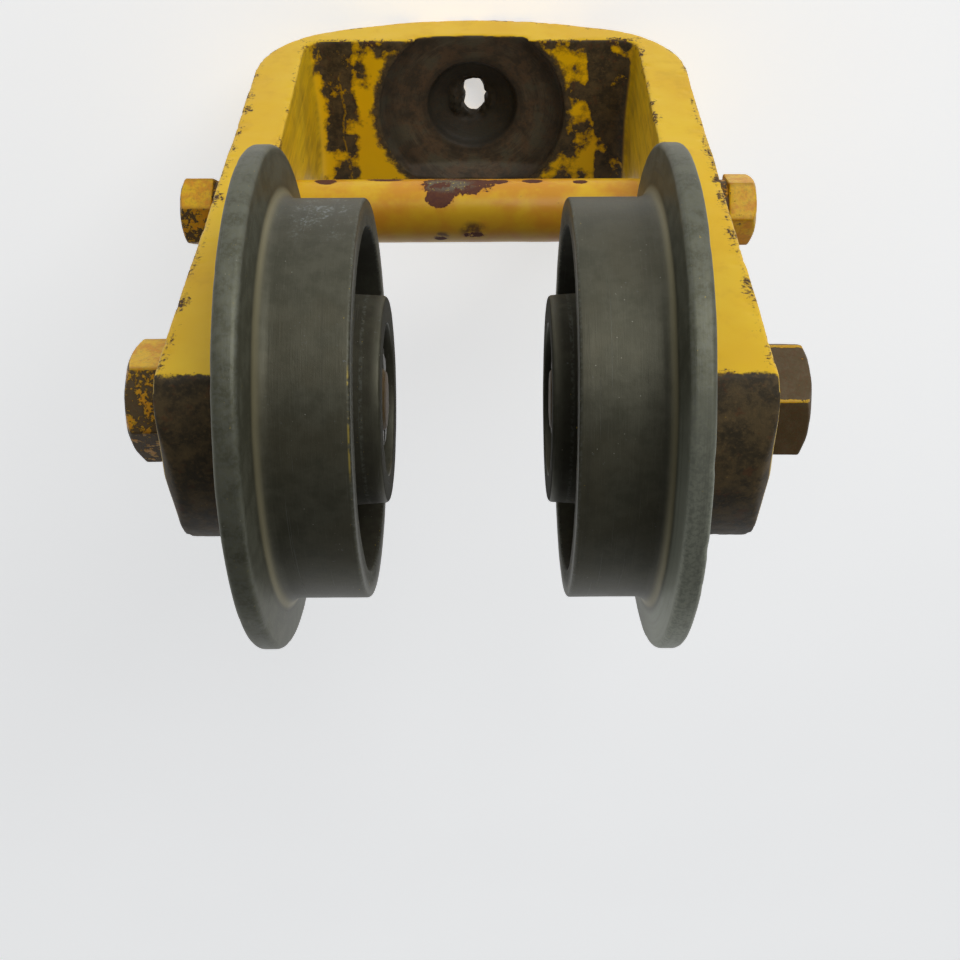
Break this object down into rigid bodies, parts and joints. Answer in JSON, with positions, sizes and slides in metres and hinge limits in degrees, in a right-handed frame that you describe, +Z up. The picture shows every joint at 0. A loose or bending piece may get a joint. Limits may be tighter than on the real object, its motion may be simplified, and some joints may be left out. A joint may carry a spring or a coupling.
{
  "type": "beam trolley head",
  "caption": "Painted forged U-shaped yoke carrying two flanged wheels on stub axle bolts, with a spacer tube and cross bolt, to run on the lower flange of an I beam.",
  "frame": {"origin": "centre of the crown hole at the flat spot under the crown", "axes": "+Z up in use, from the crown to the wheels; +X along the axles; +Y along the beam"},
  "size_m": [0.1725, 0.1244, 0.233],
  "materials": {
    "yoke_paint": "worn yellow paint over dark forged steel",
    "tube_paint": "chipped orange-yellow paint over rusty steel",
    "fastener_paint": "overpainted steel fasteners, partly rusted",
    "bolt_steel": "dark oily steel with traces of yellow paint",
    "small_hardware": "dull plated steel",
    "wheel_steel": "dark machined steel, worn and scuffed",
    "bearing_steel": "ground bearing steel",
    "cage_brass": "plain brass"
  },
  "bodies": {
    "head": {"yoke": "yoke_paint", "spacer_tube": "tube_paint", "cross_bolt": "fastener_paint", "cross_nut": "fastener_paint", "cross_lock_washers": "fastener_paint", "left_axle_bolt": "bolt_steel", "left_axle_nut": "small_hardware", "left_nut_washer": "small_hardware", "left_cotter_pin": "small_hardware", "left_thrust_washer": "small_hardware", "left_inner_race": "bearing_steel", "right_axle_bolt": "bolt_steel", "right_axle_nut": "small_hardware", "right_nut_washer": "small_hardware", "right_cotter_pin": "small_hardware", "right_thrust_washer": "small_hardware", "right_inner_race": "bearing_steel"},
    "left_wheel_set": {"left_wheel": "wheel_steel", "left_outer_race": "bearing_steel", "left_bearing_shields": "bearing_steel", "left_snap_ring": "small_hardware"},
    "left_cage_set": {"left_ball_cage": "cage_brass", "left_bearing_balls": "bearing_steel"},
    "right_wheel_set": {"right_wheel": "wheel_steel", "right_outer_race": "bearing_steel", "right_bearing_shields": "bearing_steel", "right_snap_ring": "small_hardware"},
    "right_cage_set": {"right_ball_cage": "cage_brass", "right_bearing_balls": "bearing_steel"}
  },
  "joints": [
    {"name": "left_wheel_spin", "type": "hinge", "parent": "head", "child": "left_wheel_set", "pos_m": [-0.035, 0, 0.17075], "axis": [1, 0, 0], "continuous": true},
    {"name": "left_cage_spin", "type": "hinge", "parent": "head", "child": "left_cage_set", "pos_m": [-0.035, 0, 0.17075], "axis": [1, 0, 0], "continuous": true},
    {"name": "right_wheel_spin", "type": "hinge", "parent": "head", "child": "right_wheel_set", "pos_m": [0.035, 0, 0.17075], "axis": [1, 0, 0], "continuous": true},
    {"name": "right_cage_spin", "type": "hinge", "parent": "head", "child": "right_cage_set", "pos_m": [0.035, 0, 0.17075], "axis": [1, 0, 0], "continuous": true}
  ],
  "couplings": [
    {"joint": "left_cage_spin", "follows": "left_wheel_spin", "ratio": 0.6087},
    {"joint": "right_cage_spin", "follows": "right_wheel_spin", "ratio": 0.6087}
  ]
}
